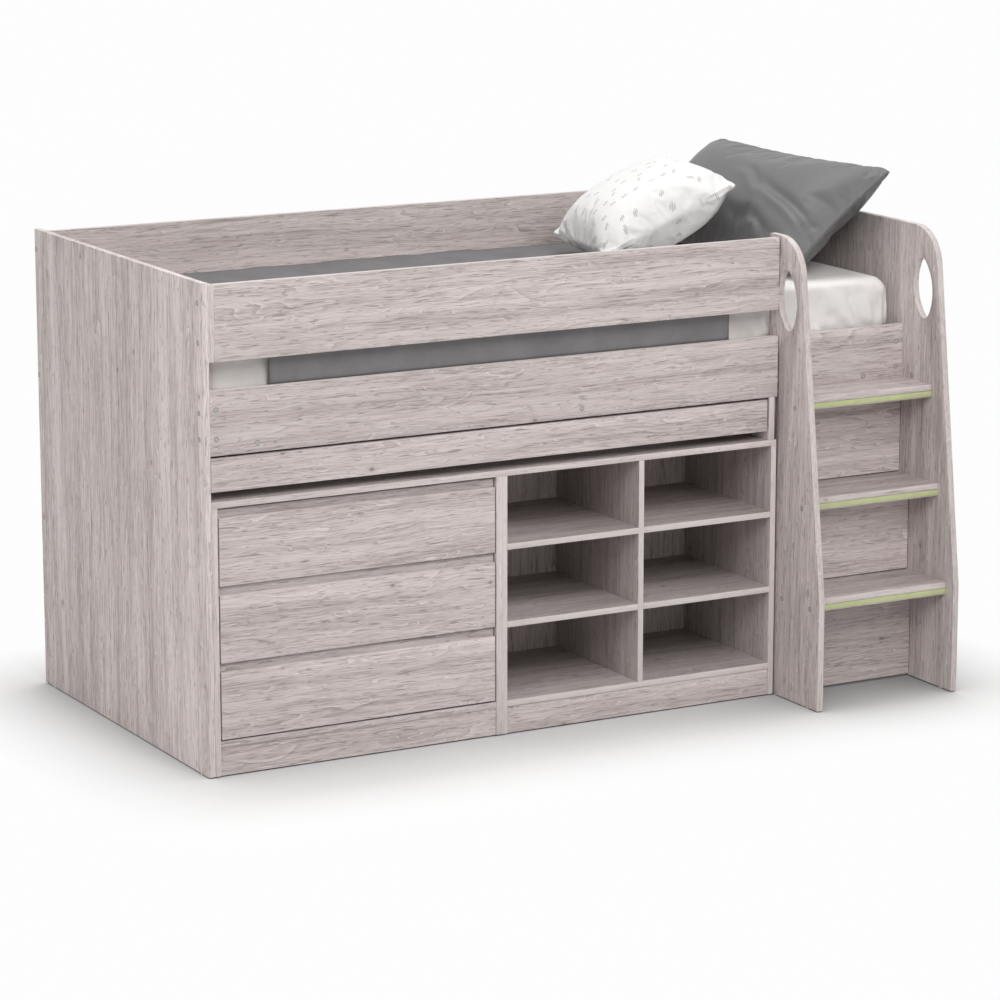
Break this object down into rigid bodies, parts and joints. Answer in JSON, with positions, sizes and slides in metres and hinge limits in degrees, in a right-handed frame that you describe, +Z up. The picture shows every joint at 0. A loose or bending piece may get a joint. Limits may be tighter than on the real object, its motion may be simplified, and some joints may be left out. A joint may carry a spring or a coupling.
{
  "type": "mid sleeper bed",
  "caption": "Mid sleeper bed with a pull-out desk, drawer chest, cube shelves and a ladder between side panels, with a mattress, throw and pillows.",
  "frame": {"origin": "on the floor, under the middle of the whole bed", "axes": "+X along the bed towards the ladder, +Y towards the wall, +Z up"},
  "size_m": [1.9698, 1.18, 1.2907],
  "materials": {
    "washed_oak": "matte foil with a grey-washed oak grain",
    "slat_wood": "planed softwood",
    "runner_steel": "zinc-plated",
    "glow_plastic": "pale green glow strip",
    "cap_plastic": "matte",
    "glide_plastic": "smooth",
    "mattress_fabric": "soft white cotton",
    "throw_fabric": "smooth grey cotton",
    "pillow_grey_fabric": "grey sateen",
    "pillow_white_fabric": "white cotton with a tiny scattered print"
  },
  "bodies": {
    "frame": {"left_end_panel": "washed_oak", "right_end_panel": "washed_oak", "ladder_side_panel": "washed_oak", "guard_rail": "washed_oak", "guard_end_block": "washed_oak", "front_rail": "washed_oak", "main_rail": "washed_oak", "back_board": "washed_oak", "rail_blocks": "washed_oak", "slat_ledgers": "washed_oak", "slats": "slat_wood", "upper_tread": "washed_oak", "middle_tread": "washed_oak", "lower_tread": "washed_oak", "upper_riser": "washed_oak", "middle_riser": "washed_oak", "lower_riser": "washed_oak", "tread_battens": "washed_oak", "glow_strips": "glow_plastic", "desk_runners_fixed": "runner_steel", "desk_upright": "washed_oak", "cabinet_top": "washed_oak", "chest_sides": "washed_oak", "chest_bottom": "washed_oak", "chest_plinth": "washed_oak", "chest_back": "washed_oak", "drawer_runners_fixed": "runner_steel", "shelf_sides": "washed_oak", "shelf_divider": "washed_oak", "shelf_bottom": "washed_oak", "shelf_plinth": "washed_oak", "shelves": "washed_oak", "shelf_back": "washed_oak", "mattress": "mattress_fabric", "throw": "throw_fabric", "grey_pillow": "pillow_grey_fabric", "white_pillow": "pillow_white_fabric", "screw_caps": "cap_plastic", "joint_dowels": "slat_wood", "floor_glides": "glide_plastic"},
    "desk": {"desk_front": "washed_oak", "desk_top": "washed_oak", "desk_battens": "washed_oak", "desk_runners_inner": "runner_steel"},
    "desk_runner_middles": {"desk_runners_middle": "runner_steel"},
    "drawer_bottom": {"drawer_bottom_front": "washed_oak", "drawer_bottom_box": "washed_oak", "drawer_bottom_base": "washed_oak", "drawer_bottom_runners": "runner_steel"},
    "drawer_middle": {"drawer_middle_front": "washed_oak", "drawer_middle_box": "washed_oak", "drawer_middle_base": "washed_oak", "drawer_middle_runners": "runner_steel"},
    "drawer_top": {"drawer_top_front": "washed_oak", "drawer_top_box": "washed_oak", "drawer_top_base": "washed_oak", "drawer_top_runners": "runner_steel"}
  },
  "joints": [
    {"name": "desk_slide", "type": "slide", "parent": "frame", "child": "desk", "axis": [0, -1, 0], "range_m": [0, 0.36]},
    {"name": "desk_runner_slide", "type": "slide", "parent": "frame", "child": "desk_runner_middles", "axis": [0, -1, 0], "range_m": [0, 0.18]},
    {"name": "drawer_bottom_slide", "type": "slide", "parent": "frame", "child": "drawer_bottom", "axis": [0, -1, 0], "range_m": [0, 0.27]},
    {"name": "drawer_middle_slide", "type": "slide", "parent": "frame", "child": "drawer_middle", "axis": [0, -1, 0], "range_m": [0, 0.27]},
    {"name": "drawer_top_slide", "type": "slide", "parent": "frame", "child": "drawer_top", "axis": [0, -1, 0], "range_m": [0, 0.27]}
  ],
  "couplings": [
    {"joint": "desk_runner_slide", "follows": "desk_slide", "ratio": 0.5}
  ]
}
